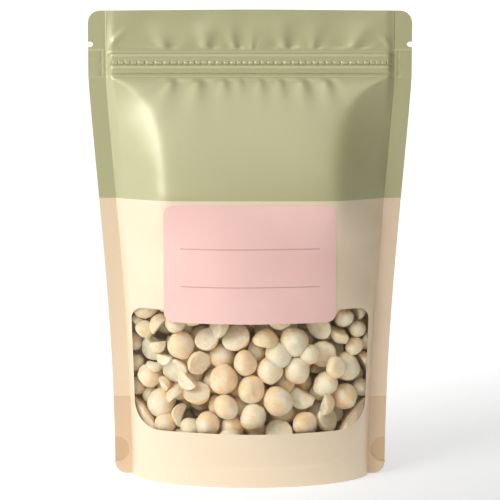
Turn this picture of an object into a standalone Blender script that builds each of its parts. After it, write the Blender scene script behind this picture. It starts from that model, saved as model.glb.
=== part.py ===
"""A stand-up pouch of shelled macadamia kernels.

The printed front and back films are sealed down both sides, over a folded bottom gusset. The front film has
a window lined with clear film, a paper label lies on it, and a press-to-close zip joins the two films near
the top. Inside lie whole, halved and broken kernels: those behind the window are separate solids, and one
solid fills the rest.

Metres, +Z up, the front towards -Y. The origin is on the surface the pouch stands on, under its middle.
"""

import itertools
import math
import random

import bmesh
import bpy
from mathutils import Quaternion, Vector

# The pouch: a 160 x 235 mm flat size with a 2 x 40 mm gusset, standing filled.
POUCH_WIDTH = 0.160
POUCH_HEIGHT = 0.2328
SIDE_SEAL = 0.0085
CORNER_RADIUS = 0.006
BASE_NARROWING = 0.0116  # how far each side edge draws in at the base, as the belly takes up the film
GUSSET_FOLD = 0.040  # height of the gusset's fold in the side seals
SEAL_STEP = 0.008  # above the fold, the side seals thin from four films to two over this height
FILM = 0.00015  # thickness of the laminates
GAP = 0.0002  # left between films that are welded together

# The zip, the tear notches and the colour change that the printed films are laid out around.
ZIP_LOW = 0.2005
ZIP_HIGH = 0.213
ZIP_SWELL = 0.00135  # how far the zip lifts each film
ZIP_HALF_LENGTH = 0.067
NOTCH_HEIGHT = 0.2163
NOTCH_DEPTH = 0.0026
NOTCH_RADIUS = 0.0012

# The base: a weld runs round it like a U, low in the middle and up to the gusset's fold at the sides.
WELD_HEIGHT = 0.009
PUNCH_HEIGHT = 0.0126
PUNCH_RADIUS = 0.0064
PUNCH_FROM_EDGE = 0.001
FLOOR_SHARE = 0.55  # share of the gusset's depth that lies flat on the surface
ARCH_START = 0.4  # share of the half width where the gusset starts to rise towards its fold

# The belly's cross-section is a bow, between a parabola (1) and an ellipse (0.5).
BASE_BOW = 0.56
ZIP_BOW = 1.0
BOW_START = 0.05
PUCKER_LENGTH = 0.015  # below the zip, part of the spare film goes into puckers instead of the belly

# The window, its lining and the label, in front view.
WINDOW_HALF_WIDTH = 0.0577
WINDOW_LOW = 0.0272
WINDOW_HIGH = 0.087
WINDOW_TOP_RADIUS = 0.005
WINDOW_BASE_RADIUS = 0.015
LINING_FILM = 0.0001
LINING_MARGIN = 0.003
LABEL_HALF_WIDTH = 0.0423
LABEL_LOW = 0.0815
LABEL_HIGH = 0.1385
LABEL_RADIUS = 0.0045
LABEL_THICKNESS = 0.0001

# The contents.
FILL_HEIGHT = 0.128
LAYER_DEPTH = 0.019  # room for the kernels that lie against the window
LAYER_TOP = 0.096
FILLING_HALF_WIDTH = 0.046
KERNEL_COUNT = 50
KERNEL_CLEARANCE = 0.00035
SETTLE_STEPS = 300
KERNEL_SHARES = (("whole", 0.46), ("half", 0.38), ("broken", 0.16))
KERNEL_RADII = {"whole": (0.0060, 0.0074), "half": (0.0064, 0.0076), "broken": (0.0058, 0.0070)}

CHAMBER_STEPS = 20  # mesh columns across the belly
FACET_MARGIN = 0.0006  # the mesh of a film lies up to this far inside its curve
TRIM = 0.002  # the films are made this much too wide and high, then cut to the pouch's outline
OVERLAP = 0.01  # how far a cutter runs past what it cuts
BELLY_STEP = 0.002  # spacing of the heights at which the belly's depth is solved
TWO_FILMS = GAP / 2 + FILM  # from the middle plane to the outer face, where two films are sealed together
FOLD_HALF = 0.0004  # and where the folded gusset lies between them, to its own outer face
FOUR_FILMS = FOLD_HALF + GAP + FILM


def smooth(t):
    t = min(1.0, max(0.0, t))
    return t * t * (3 - 2 * t)


# ---------------------------------------------------------------- the filled pouch's shape


def half_width(z):
    """From the middle to the pouch's side edge at height z."""
    t = min(1.0, max(0.0, (ZIP_LOW - z) / ZIP_LOW))
    return POUCH_WIDTH / 2 - BASE_NARROWING * math.sin(math.pi / 2 * t) ** 1.15


def chamber_half(z):
    return half_width(z) - SIDE_SEAL


def bow(z):
    return BASE_BOW + (ZIP_BOW - BASE_BOW) * smooth((z - BOW_START) / (ZIP_LOW - BOW_START))


def bow_length(half_chord, depth, power, steps=48):
    """Length of the curve y = depth * (1 - (x / half_chord)^2)^power."""
    points = []
    for i in range(steps + 1):
        angle = math.pi * i / steps - math.pi / 2
        rise = depth * max(0.0, math.cos(angle)) ** (2 * power)
        points.append(Vector((half_chord * math.sin(angle), rise)))
    return sum((b - a).length for a, b in itertools.pairwise(points))


def solve_belly(z):
    """The belly's depth at height z: the bow between the side seals is as long as the film is wide."""
    film_width = POUCH_WIDTH - 2 * SIDE_SEAL
    low, high = 0.0, film_width / 2
    for _ in range(30):
        middle = (low + high) / 2
        if bow_length(chamber_half(z), middle, bow(z)) < film_width:
            low = middle
        else:
            high = middle
    return low * (1 - math.exp(-(ZIP_LOW - z) / PUCKER_LENGTH))


BELLY_DEPTHS = [solve_belly(i * BELLY_STEP) for i in range(int(ZIP_LOW / BELLY_STEP) + 1)] + [0.0]


def belly(z):
    place = min(max(z, 0.0) / BELLY_STEP, len(BELLY_DEPTHS) - 1.001)
    i = int(place)
    return BELLY_DEPTHS[i] + (BELLY_DEPTHS[i + 1] - BELLY_DEPTHS[i]) * (place - i)


def zip_swell(z):
    if z < ZIP_LOW:
        return 0.0
    return ZIP_SWELL * smooth((POUCH_HEIGHT - z) / (POUCH_HEIGHT - ZIP_HIGH))


def bulge(x, z):
    """How far each film stands out from its plane in the side seals."""
    share = min(1.0, abs(x) / chamber_half(z))
    body = belly(z) * (1 - share * share) ** bow(z) if z < ZIP_LOW else 0.0
    across_zip = smooth((chamber_half(z) - abs(x)) / 0.002)
    return max(body, zip_swell(z) * across_zip)


def seal_half(z):
    return FOUR_FILMS + (TWO_FILMS - FOUR_FILMS) * smooth((z - GUSSET_FOLD) / SEAL_STEP)


def film_depth(x, z):
    """From the middle plane to the outer face of either film."""
    return seal_half(z) + bulge(x, z)


# ---------------------------------------------------------------- points on the films
# A column is a number: -1 to 1 across the belly, and on to -2 or 2 across a side seal and its trim.

CHAMBER_COLUMNS = [2 * i / CHAMBER_STEPS - 1 for i in range(CHAMBER_STEPS + 1)]
COLUMNS = [-2.0, *CHAMBER_COLUMNS, 2.0]


def column_x(column, z):
    if abs(column) <= 1:
        return chamber_half(z) * math.sin(math.pi / 2 * column)
    return math.copysign(chamber_half(z) + (abs(column) - 1) * (SIDE_SEAL + TRIM), column)


def outer_point(column, z):
    x = column_x(column, z)
    return Vector((x, -film_depth(x, z), z))


def layer_point(column, z, inset):
    """A point of the front film's outer face, or of a layer that far under it, square to the surface."""
    point = outer_point(column, z)
    if abs(column) > 1:
        return point + Vector((0, inset, 0))
    step = 0.001
    across = outer_point(min(1, column + step), z) - outer_point(max(-1, column - step), z)
    up = outer_point(column, z + step / 10) - outer_point(column, z - step / 10)
    point -= across.cross(up).normalized() * inset
    if abs(column) == 1:  # the corner between the belly and the seal is square to both
        point.y += inset
    return point


def to_back(point):
    return Vector((point.x, -point.y, point.z))


def weld_height(x):
    """Height of the weld that joins the gusset to the front and back films."""
    share = min(1.0, abs(x) / chamber_half(GUSSET_FOLD))
    return WELD_HEIGHT + (GUSSET_FOLD - FOLD_HALF - WELD_HEIGHT) * share**8


def arch_height(x):
    """Height of the gusset's middle: flat on the surface, and up to its fold at the side seals."""
    share = min(1.0, abs(x) / chamber_half(GUSSET_FOLD))
    return FILM + (GUSSET_FOLD - FILM) * smooth((share - ARCH_START) / (1 - ARCH_START))


def gusset_rise(share):
    """How far the gusset has risen from its middle towards the weld, at a share of its depth."""
    return max(0.0, (share - FLOOR_SHARE) / (1 - FLOOR_SHARE)) ** 2


def gusset_point(column, row):
    """row runs from -2 at the front edge to -1 at the weld, over the floor to 1, and down the back to 2."""
    x = column_x(column, GUSSET_FOLD)
    weld = weld_height(x)
    if abs(row) >= 1:
        point = layer_point(column, weld * (2 - abs(row)), FILM + GAP)
    elif abs(column) >= 1:  # the fold, pressed flat in the side seal
        point = layer_point(column, weld, FILM + GAP)
        point.z -= point.y * math.cos(math.pi / 2 * row)
        point.y *= math.sin(math.pi / 2 * abs(row))
    else:
        point = layer_point(column, weld, FILM + GAP)
        point.y *= abs(row)
        point.z = arch_height(x) + (weld - arch_height(x)) * gusset_rise(abs(row))
    return point if row < 0 else to_back(point)


def gusset_height(x, y):
    """Height that clears the gusset's upper face, for what lies on it."""
    weld = weld_height(x)
    depth = film_depth(x, weld) - FILM - GAP
    return arch_height(x) + (weld - arch_height(x)) * gusset_rise(min(1.0, abs(y) / depth)) + FACET_MARGIN


# ---------------------------------------------------------------- Blender helpers


def clear_scene():
    for item in list(bpy.data.objects):
        bpy.data.objects.remove(item)


def new_collection(name):
    collection = bpy.data.collections.new(name)
    bpy.context.scene.collection.children.link(collection)
    return collection


def new_material(name, colour, roughness, alpha=1.0):
    material = bpy.data.materials.new(name)
    material.use_nodes = True
    shader = material.node_tree.nodes["Principled BSDF"]
    shader.inputs["Base Color"].default_value = (*colour, 1.0)
    shader.inputs["Roughness"].default_value = roughness
    shader.inputs["Alpha"].default_value = alpha
    return material


def add_object(name, data, collection, material=None):
    made = bpy.data.objects.new(name, data)
    collection.objects.link(made)
    if material:
        data.materials.append(material)
    return made


def mesh_of(bm, name):
    mesh = bpy.data.meshes.new(name)
    bm.to_mesh(mesh)
    bm.free()
    return mesh


def add_sheet(name, columns, rows, place, thickness, collection, material):
    """A film through the points place(column, row), thickened away from its normals."""
    bm = bmesh.new()
    bmesh.ops.create_grid(bm, x_segments=len(columns) - 1, y_segments=len(rows) - 1, size=1)
    for vertex in bm.verts:
        i = round((vertex.co.x + 1) / 2 * (len(columns) - 1))
        j = round((vertex.co.y + 1) / 2 * (len(rows) - 1))
        vertex.co = place(columns[i], rows[j])
    bmesh.ops.triangulate(bm, faces=bm.faces[:])  # so that both faces of the film bend along the same lines
    mesh = mesh_of(bm, name)
    mesh.shade_smooth()
    mesh.set_sharp_from_angle(angle=math.radians(35))
    made = add_object(name, mesh, collection, material)
    solid = made.modifiers.new("thickness", "SOLIDIFY")
    solid.thickness = thickness
    solid.offset = -1
    solid.use_even_offset = True
    return made


def add_outline(name, outline, half_length, collection, material=None):
    """A flat outline, extruded both ways from its plane."""
    curve = bpy.data.curves.new(name, "CURVE")
    curve.dimensions = "2D"
    curve.fill_mode = "BOTH"
    curve.extrude = half_length
    spline = curve.splines.new("POLY")
    spline.points.add(len(outline) - 1)
    for point, (x, y) in zip(spline.points, outline, strict=True):
        point.co = (x, y, 0, 1)
    spline.use_cyclic_u = True
    return add_object(name, curve, collection, material)


def add_cutter(name, outline, half_depth, centre_y, collection):
    """An outline in front view, as a closed mesh that runs through the films from front to back."""
    made = add_outline(name, outline, half_depth, collection)
    made.rotation_euler.x = math.pi / 2
    made.location.y = centre_y
    bpy.context.view_layer.update()
    evaluated = made.evaluated_get(bpy.context.evaluated_depsgraph_get())
    mesh = bpy.data.meshes.new_from_object(evaluated)
    bm = bmesh.new()
    bm.from_mesh(mesh)
    bmesh.ops.remove_doubles(bm, verts=bm.verts, dist=1e-6)
    bmesh.ops.recalc_face_normals(bm, faces=bm.faces)
    bm.to_mesh(mesh)
    bm.free()
    cutter = bpy.data.objects.new(name + "_cutter", mesh)
    cutter.matrix_world = made.matrix_world.copy()
    collection.objects.link(cutter)
    bpy.data.objects.remove(made)
    cutter.hide_render = True
    cutter.display_type = "WIRE"
    return cutter


def cut(target, cutter, operation="DIFFERENCE"):
    boolean = target.modifiers.new(cutter.name, "BOOLEAN")
    boolean.operation = operation
    boolean.object = cutter


# ---------------------------------------------------------------- outlines in front view


def arc(centre_x, centre_z, radius, start, end, steps=6):
    """Points of an arc, its angles in degrees."""
    angles = [math.radians(start + (end - start) * i / steps) for i in range(steps + 1)]
    return [(centre_x + radius * math.cos(a), centre_z + radius * math.sin(a)) for a in angles]


def mirrored(right_side):
    """A closed outline from its right side, listed from bottom to top."""
    return right_side + [(-x, z) for x, z in reversed(right_side)]


def rounded_box(half, low, high, low_radius, high_radius):
    return mirrored(
        arc(half - low_radius, low + low_radius, low_radius, -90, 0)
        + arc(half - high_radius, high - high_radius, high_radius, 0, 90)
    )


def pouch_outline():
    """The cut edge of the films: rounded corners, slanting sides and a tear notch in each side seal."""
    base_edge = half_width(CORNER_RADIUS)
    sides = [(half_width(z), z) for z in (i * GUSSET_FOLD / 2 for i in range(1, 11))]
    notch_end = POUCH_WIDTH / 2 - NOTCH_DEPTH + NOTCH_RADIUS
    notch = [
        (POUCH_WIDTH / 2, NOTCH_HEIGHT - NOTCH_RADIUS),
        *reversed(arc(notch_end, NOTCH_HEIGHT, NOTCH_RADIUS, 90, 270)),
        (POUCH_WIDTH / 2, NOTCH_HEIGHT + NOTCH_RADIUS),
    ]
    return mirrored(
        [(base_edge - CORNER_RADIUS, -TRIM)]
        + arc(base_edge - CORNER_RADIUS, CORNER_RADIUS, CORNER_RADIUS, -90, 0)
        + sides
        + [(POUCH_WIDTH / 2, ZIP_LOW)]
        + notch
        + arc(POUCH_WIDTH / 2 - CORNER_RADIUS, POUCH_HEIGHT - CORNER_RADIUS, CORNER_RADIUS, 0, 90)
    )


def half_profile_to_outline(upper):
    """A closed outline from its upper half, which runs from one end to the other."""
    return upper + [(y, -z) for y, z in reversed(upper)]


# ---------------------------------------------------------------- films, label and zip

FILM_ROWS = [
    *(i * GUSSET_FOLD / 6 for i in range(7)),
    *(GUSSET_FOLD + i * (0.188 - GUSSET_FOLD) / 13 for i in range(1, 14)),
    0.194,
    0.1975,
    ZIP_LOW - 0.0006,
    ZIP_LOW,
    ZIP_HIGH,
    (ZIP_HIGH + POUCH_HEIGHT) / 2,
    POUCH_HEIGHT + TRIM,
]


def build_films(parts, cutters, materials):
    edge = add_cutter("pouch_edge", pouch_outline(), POUCH_WIDTH / 2, 0, cutters)
    window = add_cutter(
        "window",
        rounded_box(WINDOW_HALF_WIDTH, WINDOW_LOW, WINDOW_HIGH, WINDOW_BASE_RADIUS, WINDOW_TOP_RADIUS),
        POUCH_WIDTH / 4,
        -POUCH_WIDTH / 4 - FOUR_FILMS,
        cutters,
    )

    def on_front(column, z):
        return layer_point(column, z, 0)

    def on_back(column, z):
        return to_back(layer_point(-column, z, 0))

    front = add_sheet("front_film", COLUMNS, FILM_ROWS, on_front, FILM, parts, materials["film"])
    cut(front, edge, "INTERSECT")
    cut(front, window)
    back = add_sheet("back_film", COLUMNS, FILM_ROWS, on_back, FILM, parts, materials["film"])
    cut(back, edge, "INTERSECT")
    build_gusset(edge, parts, cutters, materials)
    build_window_lining(parts, cutters, materials)
    build_label(parts, cutters, materials)


def build_gusset(edge, parts, cutters, materials):
    legs = [2, 1.75, 1.5, 1.25]
    floor = [1, 0.85, 0.7, FLOOR_SHARE, 0.25]
    rows = [-r for r in legs + floor] + [r for r in reversed(legs + floor)]
    gusset = add_sheet("bottom_gusset", COLUMNS, rows, gusset_point, FILM, parts, materials["gusset"])
    cut(gusset, edge, "INTERSECT")
    for side, sign in (("right", 1), ("left", -1)):
        centre = sign * (half_width(PUNCH_HEIGHT) - PUNCH_FROM_EDGE)
        outline = arc(centre, PUNCH_HEIGHT, PUNCH_RADIUS, 0, 345, 23)
        cut(gusset, add_cutter(f"gusset_punch_{side}", outline, OVERLAP, 0, cutters))


def build_window_lining(parts, cutters, materials):
    rows = [z for z in FILM_ROWS if WINDOW_LOW - OVERLAP < z < WINDOW_HIGH + 2 * OVERLAP]
    lining = add_sheet(
        "window_film",
        CHAMBER_COLUMNS[1:-1],
        rows,
        lambda c, z: layer_point(c, z, FILM + GAP),
        LINING_FILM,
        parts,
        materials["clear"],
    )
    margin = LINING_MARGIN
    outline = rounded_box(
        WINDOW_HALF_WIDTH + margin / 2,
        WINDOW_LOW - margin,
        WINDOW_HIGH + margin,
        WINDOW_BASE_RADIUS + margin,
        WINDOW_TOP_RADIUS + margin,
    )
    cut(lining, add_cutter("window_film", outline, POUCH_WIDTH / 4, -POUCH_WIDTH / 4, cutters), "INTERSECT")


def build_label(parts, cutters, materials):
    columns = [c for c in CHAMBER_COLUMNS if abs(c) < 0.65]
    rows = [z for z in FILM_ROWS if LABEL_LOW - OVERLAP < z < LABEL_HIGH + 2 * OVERLAP]
    label = add_sheet(
        "front_label",
        columns,
        rows,
        lambda c, z: layer_point(c, z, -GAP - LABEL_THICKNESS),
        LABEL_THICKNESS,
        parts,
        materials["label"],
    )
    outline = rounded_box(LABEL_HALF_WIDTH, LABEL_LOW, LABEL_HIGH, LABEL_RADIUS, LABEL_RADIUS)
    cut(label, add_cutter("front_label", outline, POUCH_WIDTH / 4, -POUCH_WIDTH / 4, cutters), "INTERSECT")


def build_zip(parts, materials):
    """Two tapes whose profiles interlock: a grooved one on the front film and a ribbed one on the back."""
    half_height = (ZIP_HIGH - ZIP_LOW) / 2 - 0.0003
    tape_outer = TWO_FILMS + ZIP_SWELL - FILM - GAP
    tape_inner = tape_outer - 0.00025
    groove = half_profile_to_outline(
        [
            (-tape_outer, half_height),
            (-tape_inner, half_height),
            (-tape_inner, 0.00115),
            (0.0005, 0.00115),
            (0.0005, 0.0005),
            (0.00025, 0.0005),
            (0.00025, 0.0008),
            (-tape_inner, 0.0008),
        ]
    )
    rib = half_profile_to_outline(
        [
            (-0.0006, 0.0002),
            (-0.0001, 0.0006),
            (0.00005, 0.0006),
            (0.00005, 0.0003),
            (tape_inner, 0.0003),
            (tape_inner, half_height),
            (tape_outer, half_height),
        ]
    )
    for name, outline in (("zip_groove_strip", groove), ("zip_rib_strip", rib)):
        strip = add_outline(name, outline, ZIP_HALF_LENGTH, parts, materials["zip"])
        strip.rotation_euler = (math.pi / 2, 0, math.pi / 2)
        strip.location.z = (ZIP_LOW + ZIP_HIGH) / 2


# ---------------------------------------------------------------- kernels


class Kernel:
    """One kernel: its kind, the sphere that holds it, and how it is turned."""

    def __init__(self, kind, radius, centre, turn, chance):
        self.kind = kind
        self.radius = radius
        self.centre = centre
        self.turn = turn
        self.oval = (chance.uniform(0.93, 1.0), chance.uniform(0.9, 0.97))
        self.cut_at = chance.uniform(-0.1, 0.35)
        self.pull = chance.choice((1.0, 1.0, 0.3))

    def mesh(self, name):
        """Its local +Z is the pointed tip of a whole kernel, or the normal of a half's flat face."""
        bm = bmesh.new()
        bmesh.ops.create_icosphere(bm, subdivisions=2, radius=1)
        for vertex in bm.verts:
            tip = 0.08 * max(0.0, vertex.co.z) ** 6
            vertex.co *= 0.92 + tip
            vertex.co.x *= self.oval[0]
            vertex.co.y *= self.oval[1]
        if self.kind != "whole":
            halve(bm, Vector((0, 0, 0)), Vector((0, 0, 1)))
        if self.kind == "broken":
            halve(bm, Vector((self.cut_at, 0, 0)), Vector((1, 0.2, 0.25)))
        bmesh.ops.scale(bm, vec=Vector((1, 1, 1)) * self.radius, verts=bm.verts)
        bmesh.ops.rotate(bm, cent=(0, 0, 0), matrix=self.turn.to_matrix(), verts=bm.verts)
        mesh = mesh_of(bm, name)
        mesh.shade_smooth()
        mesh.set_sharp_from_angle(angle=math.radians(50))
        return mesh


def halve(bm, point, normal):
    """Cuts off what lies beyond a plane, and closes the cut with one flat face."""
    geometry = bm.verts[:] + bm.edges[:] + bm.faces[:]
    found = bmesh.ops.bisect_plane(
        bm, geom=geometry, dist=1e-4, plane_co=point, plane_no=normal, clear_outer=True
    )
    edges = [item for item in found["geom_cut"] if isinstance(item, bmesh.types.BMEdge)]
    bmesh.ops.contextual_create(bm, geom=edges)


def random_turn(kind, chance):
    """Whole kernels lie any way round. A cut one often shows its flat face to the window."""
    axis = Vector([chance.gauss(0, 1) for _ in range(3)]).normalized()
    anyhow = Quaternion(axis, chance.uniform(0, math.pi))
    if kind == "whole" or chance.random() < 0.4:
        return anyhow
    facing = Vector((chance.uniform(-0.8, 0.8), -1, chance.uniform(-0.4, 0.9)))
    return facing.to_track_quat("Z", "Y") @ Quaternion((0, 0, 1), chance.uniform(0, 2 * math.pi))


def scatter_kernels(chance):
    """Kernels in staggered rows behind the window, before they settle."""
    spacing_x, spacing_z = 0.0136, 0.0131
    places = []
    for row in range(6):
        z = WINDOW_LOW - 0.003 + row * spacing_z
        count = 9 if row % 2 else 8
        places += [((i - (count - 1) / 2) * spacing_x, z) for i in range(count)]
    chance.shuffle(places)
    kinds = [kind for kind, share in KERNEL_SHARES for _ in range(round(share * KERNEL_COUNT))]
    kernels = []
    for kind, (x, z) in zip(kinds, places, strict=False):
        radius = chance.uniform(*KERNEL_RADII[kind])
        x += chance.uniform(-0.002, 0.002)
        z += chance.uniform(-0.002, 0.002)
        y = -film_depth(x, z) + radius + chance.uniform(0.001, 0.006)
        kernels.append(Kernel(kind, radius, Vector((x, y, z)), random_turn(kind, chance), chance))
    return kernels


def slope_of(height, x, y):
    """Gradient of height(x, y), by central differences."""
    step = 0.0005
    return (
        (height(x + step, y) - height(x - step, y)) / (2 * step),
        (height(x, y + step) - height(x, y - step)) / (2 * step),
    )


def walls_near(kernel):
    """What the kernel must stay clear of: (distance to its centre, direction away) of each."""
    x, y, z = kernel.centre
    slope_x, slope_z = slope_of(film_depth, x, z)
    square = math.sqrt(1 + slope_x**2 + slope_z**2)
    inside = film_depth(x, z) - FILM - GAP - LINING_FILM - FACET_MARGIN
    floor_x, floor_y = slope_of(gusset_height, x, y)
    steep = math.sqrt(1 + floor_x**2 + floor_y**2)
    return (
        ((inside + y) / square, Vector((slope_x, 1, slope_z)) / square),
        ((inside - y) / square, Vector((slope_x, -1, slope_z)) / square),
        ((z - gusset_height(x, y)) / steep, Vector((-floor_x, -floor_y, 1)) / steep),
        ((LAYER_DEPTH - film_depth(x, z) - y) / square, Vector((-slope_x, -1, -slope_z)) / square),
        (LAYER_TOP - z, Vector((0, 0, -1))),
    )


def settle(kernels):
    """Draws the kernels against the window and down, and moves apart those that meet."""
    for _ in range(SETTLE_STEPS):
        for kernel in kernels:
            kernel.centre += Vector((0, -0.00012, -0.00003)) * kernel.pull
        for a, b in itertools.combinations(kernels, 2):
            apart = b.centre - a.centre
            short = a.radius + b.radius + KERNEL_CLEARANCE - apart.length
            if short > 0:
                push = apart.normalized() * (short / 2)
                a.centre -= push
                b.centre += push
        for kernel in kernels:
            for distance, away in walls_near(kernel):
                kernel.centre += away * max(0.0, kernel.radius + KERNEL_CLEARANCE - distance)


def shrink_to_fit(kernels):
    """Settling leaves some kernels pressed together: each shrinks as its tightest neighbour needs."""
    for kernel in kernels:
        nearest = min(distance for distance, _ in walls_near(kernel))
        kernel.radius = min(kernel.radius, nearest - KERNEL_CLEARANCE)
    for a, b in itertools.combinations(kernels, 2):
        share = ((b.centre - a.centre).length - KERNEL_CLEARANCE) / (a.radius + b.radius)
        if share < 1:
            a.radius *= share
            b.radius *= share


def build_kernels(parts, materials):
    chance = random.Random(7)
    kernels = scatter_kernels(chance)
    settle(kernels)
    shrink_to_fit(kernels)
    kernels.sort(key=lambda kernel: (kernel.kind, -round(kernel.centre.z, 3), kernel.centre.x))
    for kind, _ in KERNEL_SHARES:
        for number, kernel in enumerate([k for k in kernels if k.kind == kind], 1):
            name = f"{kind}_kernel_{number:02d}"
            made = add_object(name, kernel.mesh(name), parts, materials["kernel"])
            made.location = kernel.centre


def build_filling(parts, materials):
    """The rest of the kernels as one solid: a box drawn to the pouch's inside, behind the window layer."""
    clear_of_film = 0.0015
    behind_layer = LAYER_DEPTH + FACET_MARGIN
    bm = bmesh.new()
    bmesh.ops.create_cube(bm, size=2)
    bmesh.ops.subdivide_edges(bm, edges=bm.edges[:], cuts=7, use_grid_fill=True)
    for vertex in bm.verts:
        across, through, up = vertex.co
        x = FILLING_HALF_WIDTH * across * math.sqrt(1 - through**2 / 2.5)
        low = arch_height(x) + 0.002
        high = FILL_HEIGHT - 0.008 * across**2
        z = low + (LAYER_TOP - low) * (up + 1) if up < 0 else LAYER_TOP + (high - LAYER_TOP) * up
        open_above = smooth((z - LAYER_TOP) / 0.008)
        front = film_depth(x, z) - behind_layer + (behind_layer - clear_of_film) * open_above
        back = (film_depth(x, z) - clear_of_film) * (0.5 + 0.5 * smooth((z - low) / 0.014))
        vertex.co = (x, -front + (back + front) * (through + 1) / 2, z)
    made = add_object("kernel_filling", mesh_of(bm, "kernel_filling"), parts, materials["kernel"])
    made.data.shade_smooth()


def main():
    clear_scene()
    parts = new_collection("macadamia_pouch")
    cutters = new_collection("cutters")
    materials = {
        "film": new_material("printed_film", (0.86, 0.78, 0.62), 0.38),
        "gusset": new_material("gusset_film", (0.80, 0.70, 0.53), 0.42),
        "clear": new_material("clear_film", (0.95, 0.95, 0.93), 0.08, alpha=0.2),
        "label": new_material("label_paper", (0.87, 0.58, 0.50), 0.55),
        "zip": new_material("zip_plastic", (0.75, 0.76, 0.66), 0.3),
        "kernel": new_material("macadamia_kernel", (0.84, 0.68, 0.45), 0.5),
    }
    build_films(parts, cutters, materials)
    build_zip(parts, materials)
    build_kernels(parts, materials)
    build_filling(parts, materials)


main()
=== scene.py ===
"""The looks of a stand-up pouch of macadamia kernels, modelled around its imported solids.

The films and the label are finer sheets over the same shape, with the creases of a filled, sealed pouch.
Each kernel behind the window is a finer copy of its solid, and a pile of kernels stands for the rest.
Metres, +Z up, the front towards -Y.
"""

import math

import bmesh
import bpy
import numpy as np
from mathutils import Matrix, Vector


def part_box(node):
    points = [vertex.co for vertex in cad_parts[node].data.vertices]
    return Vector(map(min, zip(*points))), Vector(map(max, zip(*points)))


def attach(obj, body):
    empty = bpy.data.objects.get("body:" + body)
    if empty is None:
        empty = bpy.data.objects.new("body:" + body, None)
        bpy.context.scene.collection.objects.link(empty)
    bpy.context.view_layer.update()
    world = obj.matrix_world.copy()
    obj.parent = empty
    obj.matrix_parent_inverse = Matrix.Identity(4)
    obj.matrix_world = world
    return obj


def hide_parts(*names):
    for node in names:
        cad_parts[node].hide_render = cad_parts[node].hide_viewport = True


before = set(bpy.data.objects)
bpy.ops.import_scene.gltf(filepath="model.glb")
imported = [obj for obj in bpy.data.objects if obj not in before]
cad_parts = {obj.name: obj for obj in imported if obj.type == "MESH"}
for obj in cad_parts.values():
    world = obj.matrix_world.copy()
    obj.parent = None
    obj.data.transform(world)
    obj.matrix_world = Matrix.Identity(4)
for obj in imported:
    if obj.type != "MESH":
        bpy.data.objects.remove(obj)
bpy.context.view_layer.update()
MM = 0.001

# ---------------------------------------------------------------- sizes taken from the solids

LABEL_DROP = 0.8 * MM  # how much lower the label's low edge sits than its solid's
LABEL_TOP_DROP = 0.4 * MM
WINDOW_DROP = 0.5 * MM
WINDOW_TOP_DROP = 0.4 * MM

POUCH_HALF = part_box("front_film")[1].x
POUCH_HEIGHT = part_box("front_film")[1].z
GUSSET_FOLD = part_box("bottom_gusset")[1].z
ZIP_TAPE_MARGIN = 0.3 * MM
ZIP_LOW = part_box("zip_groove_strip")[0].z - ZIP_TAPE_MARGIN
ZIP_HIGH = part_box("zip_groove_strip")[1].z + ZIP_TAPE_MARGIN
LABEL_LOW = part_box("front_label")[0].z - LABEL_DROP
LABEL_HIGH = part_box("front_label")[1].z - LABEL_TOP_DROP
LABEL_HALF_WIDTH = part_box("front_label")[1].x
LINING_MARGIN = 3 * MM  # how far the clear film runs on behind the printed one
WINDOW_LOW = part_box("window_film")[0].z + LINING_MARGIN - WINDOW_DROP
WINDOW_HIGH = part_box("window_film")[1].z - LINING_MARGIN - WINDOW_TOP_DROP
WINDOW_HALF_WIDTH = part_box("window_film")[1].x - LINING_MARGIN / 2
FILL_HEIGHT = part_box("kernel_filling")[1].z
WINDOW_KERNELS = sorted(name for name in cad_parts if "_kernel_" in name)

# ---------------------------------------------------------------- sizes of the pouch

SIDE_SEAL = 8.5 * MM
CORNER_RADIUS = 6 * MM
BASE_NARROWING = 11.6 * MM  # how far each side edge slants in, from the zip to the base
FILM = 0.15 * MM
CLEAR_FILM = 0.1 * MM
LABEL_PAPER = 0.12 * MM
LABEL_GLUE = 0.04 * MM
GAP = 0.2 * MM  # between films that are sealed together
NOTCH_HEIGHT = 216.3 * MM
NOTCH_DEPTH = 2.6 * MM
NOTCH_HALF = 1.25 * MM
WELD_HEIGHT = 9 * MM
PUNCH_HEIGHT = 12.6 * MM
PUNCH_RADIUS = 6.4 * MM
PUNCH_FROM_EDGE = 1 * MM
COLOUR_CHANGE = 140.3 * MM  # sage above, cream below
WINDOW_TOP_RADIUS = 6 * MM
WINDOW_BASE_RADIUS = 13 * MM
WINDOW_TOP_SPREAD = 1.4 * MM  # how much further out each side of the window is at its top
LABEL_RADIUS = 4.7 * MM
RULE_HEIGHTS = (116.9 * MM, 98.5 * MM)
RULE_HALF_LENGTH = 34 * MM
RULE_HALF_WIDTH = 0.24 * MM

# From the middle plane to the outer face: two films sealed together, and two with the gusset between.
TWO_FILMS = GAP / 2 + FILM
FOLD_HALF = 0.4 * MM
FOUR_FILMS = FOLD_HALF + GAP + FILM
SEAL_STEP = 8 * MM  # the height over which one becomes the other

# The belly's cross-section is a power of a parabola, 0.5 for an ellipse and 1 for the parabola itself.
BASE_BOW, ZIP_BOW = 0.56, 1.0
BOW_START = 50 * MM  # where it starts to change from the one to the other
PUCKER_LENGTH = 15 * MM  # how far under the zip the belly is held back
SLACK_SHARE = 0.85  # how far the empty upper part goes from a smooth bow to a flat front with shoulders
FLOOR_SHARE = 0.55  # how much of the gusset's depth is flat floor
ARCH_START = 0.4  # how far out the gusset's underside starts to arch up to its fold


def smooth(t):
    """0 up to t = 0, 1 from t = 1, and a soft step between."""
    t = np.clip(t, 0.0, 1.0)
    return t * t * (3 - 2 * t)


# ---------------------------------------------------------------- the filled pouch, as in the solids


def half_width(z):
    """The pouch's half width at a height: its side edges slant in below the zip."""
    t = np.clip((ZIP_LOW - z) / ZIP_LOW, 0.0, 1.0)
    return POUCH_HALF - BASE_NARROWING * np.sin(np.pi / 2 * t) ** 1.15


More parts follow.
